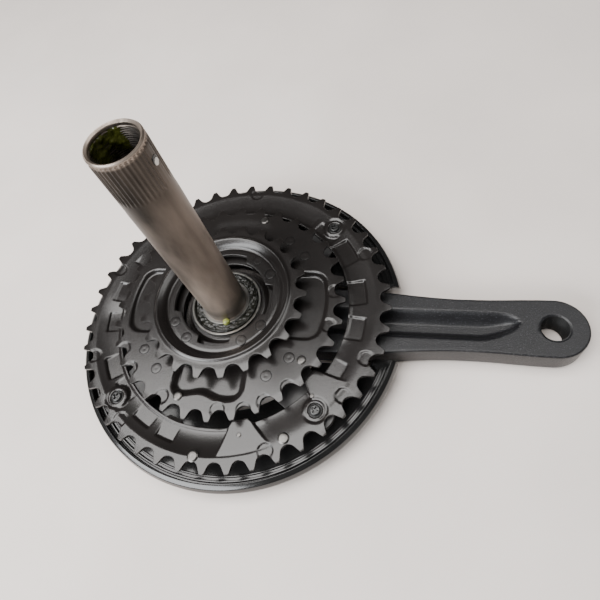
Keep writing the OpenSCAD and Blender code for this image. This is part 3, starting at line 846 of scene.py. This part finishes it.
def material(name, colour, roughness, metallic=0.0, vary=0.1, scale=90.0, bump=0.02,
             bump_scale=900.0, rough_vary=0.08, specular=0.5, stretch=(1, 1, 1), speck=None,
             along=None):
    """A procedural surface: drifting colour, uneven gloss, and a fine grain in the bump.

    vary and rough_vary are the reach of the drift, speck is the colour of fine flecks, and
    along paints light and shade into the colour by height.
    """
    mat = bpy.data.materials.new(name)
    mat.use_nodes = True
    nt = mat.node_tree
    bsdf = nt.nodes["Principled BSDF"]
    bsdf.inputs["Metallic"].default_value = metallic
    bsdf.inputs["Specular IOR Level"].default_value = specular
    place = nt.nodes.new("ShaderNodeTexCoord")
    mapping = nt.nodes.new("ShaderNodeMapping")
    mapping.inputs["Scale"].default_value = stretch
    nt.links.new(place.outputs["Object"], mapping.inputs["Vector"])
    drift = nt.nodes.new("ShaderNodeTexNoise")
    drift.inputs["Scale"].default_value = scale
    drift.inputs["Detail"].default_value = 5
    nt.links.new(mapping.outputs["Vector"], drift.inputs["Vector"])
    ramp = nt.nodes.new("ShaderNodeValToRGB")
    ramp.color_ramp.elements[0].position = 0.3
    ramp.color_ramp.elements[1].position = 0.7
    dark = [c * (1 - vary) for c in colour]
    light = [min(1, c * (1 + vary)) for c in colour]
    ramp.color_ramp.elements[0].color = (*dark, 1)
    ramp.color_ramp.elements[1].color = (*light, 1)
    nt.links.new(drift.outputs["Fac"], ramp.inputs["Fac"])
    base = ramp.outputs["Color"]
    grain = nt.nodes.new("ShaderNodeTexNoise")
    grain.inputs["Scale"].default_value = bump_scale
    grain.inputs["Detail"].default_value = 3
    nt.links.new(mapping.outputs["Vector"], grain.inputs["Vector"])
    if speck:
        mix = nt.nodes.new("ShaderNodeMix")
        mix.data_type = "RGBA"
        flecks = nt.nodes.new("ShaderNodeValToRGB")
        flecks.color_ramp.elements[0].position = 0.56
        flecks.color_ramp.elements[1].position = 0.72
        nt.links.new(grain.outputs["Fac"], flecks.inputs["Fac"])
        nt.links.new(flecks.outputs["Color"], mix.inputs["Factor"])
        nt.links.new(base, mix.inputs["A"])
        mix.inputs["B"].default_value = (*speck, 1)
        base = mix.outputs["Result"]
    # along paints light and shade into the colour by height
    if along:
        base = painted_light_by_height(nt, place, base, along)
    nt.links.new(base, bsdf.inputs["Base Color"])
    gloss = nt.nodes.new("ShaderNodeMapRange")
    gloss.inputs["To Min"].default_value = max(0.02, roughness - rough_vary)
    gloss.inputs["To Max"].default_value = roughness + rough_vary
    nt.links.new(drift.outputs["Fac"], gloss.inputs["Value"])
    nt.links.new(gloss.outputs["Result"], bsdf.inputs["Roughness"])
    relief = nt.nodes.new("ShaderNodeBump")
    relief.inputs["Strength"].default_value = bump
    relief.inputs["Distance"].default_value = 0.0005
    nt.links.new(grain.outputs["Fac"], relief.inputs["Height"])
    nt.links.new(relief.outputs["Normal"], bsdf.inputs["Normal"])
    return mat


MATERIALS = {
    "ring": material("black_coated_steel", (0.011, 0.0095, 0.009), 0.24, vary=0.12,
                     scale=30, bump=0.06, bump_scale=1500, rough_vary=0.05, specular=0.52),
    # Near-black ring round each rivet head: painted shade of a groove
    "groove_shade": material("painted_groove_shade", (0.004, 0.004, 0.004), 0.6, vary=0.2, scale=300, specular=0.1),
    "spider": material("black_spider_steel", (0.014, 0.013, 0.013), 0.4, scale=40, bump=0.1),
    # The spindle's along stops are painted light and shade: a dark foot covers a bright reflection line,
    # the low part is painted brighter, the splines darker, and the bead row and rim get a painted
    # highlight.
    "spindle": material("spindle_ground_steel", (0.27, 0.225, 0.19), 0.42, metallic=0.85, vary=0.85,
                        scale=44, bump=0.06, bump_scale=700, stretch=(1, 1, 0.3),
                        along=[(0.0, 0.4), (0.005, 0.5), (0.011, 1.5), (0.03, 1.35), (0.05, 1.0),
                               (0.07, 0.66), (0.088, 0.46), (0.099, 0.3), (0.117, 0.26),
                               (0.1175, 1.2), (0.1195, 1.5)]),
    "machined": material("machined_steel", (0.17, 0.165, 0.155), 0.3, metallic=1.0, vary=0.15, bump=0.04),
    "pin": material("bright_pin", (0.09, 0.086, 0.082), 0.3, metallic=0.9, vary=0.2, scale=300),
    "rivet": material("black_rivet", (0.014, 0.013, 0.013), 0.3, vary=0.2, scale=200, bump=0.1),
    "arm": material("black_arm_paint", (0.008, 0.008, 0.009), 0.37, vary=0.15, scale=50, bump=0.35,
                    bump_scale=1400, specular=0.38, speck=(0.035, 0.035, 0.04)),
    "thread": material("cut_thread", (0.05, 0.05, 0.05), 0.35, metallic=0.8),
    "guard": material("black_guard_plastic", (0.010, 0.010, 0.010), 0.17, vary=0.2, scale=40, bump=0.03,
                      bump_scale=300, rough_vary=0.05),
    "screw": material("black_oxide_screw", (0.014, 0.014, 0.014), 0.3, vary=0.2, scale=200),
    "grease": material("dark_grease", (0.008, 0.008, 0.006), 0.12, vary=0.5, scale=350, bump=0.6,
                       bump_scale=1100, rough_vary=0.06, specular=0.45),
    "fresh_grease": material("olive_grease", (0.20, 0.22, 0.05), 0.3, vary=0.6, scale=500, bump=0.5,
                             bump_scale=900),
    "mouth_grease": material("old_grease", (0.034, 0.038, 0.006), 0.22, vary=0.95, scale=190, bump=0.5,
                             bump_scale=900),
    # Near-white pin end: painted highlight in the spindle's cross hole
    "pin_highlight": material("painted_highlight_pin", (0.85, 0.83, 0.78), 0.3, vary=0.05),
}

# CAD nodes that are kept as they are, and the material of each
NODE_LOOKS = {
    "spider": "spider", "spider_sleeve": "ring", "spindle_collar": "machined",
    "hub_ring": "machined", "hub_cap": "guard", "small_ring_spacers": "rivet",
    "middle_ring_spacers": "rivet"}


def dress_nodes():
    """Gives each carried-over CAD node its material and a small bevel along its edges."""
    for node, look in NODE_LOOKS.items():
        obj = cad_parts[node]
        obj.data.materials.clear()
        obj.data.materials.append(MATERIALS[look])
        weld = obj.modifiers.new("weld", "WELD")
        weld.merge_threshold = 1e-5
        bevel = obj.modifiers.new("bevel", "BEVEL")
        bevel.width = 0.00025
        bevel.segments = 3
        bevel.limit_method = "ANGLE"
        bevel.angle_limit = math.radians(35)
        bevel.harden_normals = True


# ---------------------------------------------------------------- stage
def build_stage(floor_z):
    """A plain pale floor under the part."""
    bpy.ops.mesh.primitive_plane_add(size=6, location=(0, 0, floor_z))
    floor = bpy.context.object
    floor.name = "floor"
    floor.data.materials.append(material(
        "pale_floor", (0.70, 0.64, 0.60), 0.8, vary=0.05, scale=9, bump=0.15, bump_scale=60, specular=0.2))


def area_light(name, place, target, size, power, colour):
    """A soft rectangular light that faces its target."""
    light = bpy.data.lights.new(name, "AREA")
    light.shape = "RECTANGLE"
    light.size, light.size_y = size
    light.energy = power
    light.color = colour
    obj = bpy.data.objects.new(name, light)
    obj.location = place
    obj.rotation_euler = (Vector(target) - Vector(place)).to_track_quat("-Z", "Y").to_euler()
    bpy.context.scene.collection.objects.link(obj)


def build_lights():
    """A broad soft light overhead, a weaker one on the far right and a cool window on the near left."""
    warm, cool = (1, 0.985, 0.965), (0.97, 0.985, 1)
    world = bpy.data.worlds.new("studio")
    world.use_nodes = True
    world.node_tree.nodes["Background"].inputs["Color"].default_value = (0.95, 0.97, 1.0, 1)
    world.node_tree.nodes["Background"].inputs["Strength"].default_value = 0.025
    bpy.context.scene.world = world
    area_light("overhead", (-0.34, -0.10, 1.0), (-0.34, -0.10, 0), (0.95, 0.80), 22.5, warm)
    area_light("far_fill", (0.55, 0.30, 1.0), (0.55, 0.30, 0), (0.6, 0.5), 4.5, warm)
    area_light("side_window", (-0.606, -0.804, 0.654), (0, 0, 0), (1.1, 0.5), 26.0, cool)


def build_camera():
    """The camera, where the photograph was taken from."""
    camera = bpy.data.cameras.new("camera")
    camera.lens = 28.442
    camera.sensor_width = 36
    obj = bpy.data.objects.new("camera", camera)
    obj.location = (0.10461, -0.11473, 0.22372)
    obj.rotation_euler = [math.radians(v) for v in (28.618, 11.273, 7.987)]
    bpy.context.scene.collection.objects.link(obj)
    bpy.context.scene.camera = obj


build_camera()
build_lights()
build_rings()
build_spindle()
build_hub_grease()
build_mouth_grease()
build_arm()
build_guard()
build_rivets()
build_pins()
build_spindle_pin()
build_screws()
dress_nodes()
build_stage(CAD_BOX[0][2])
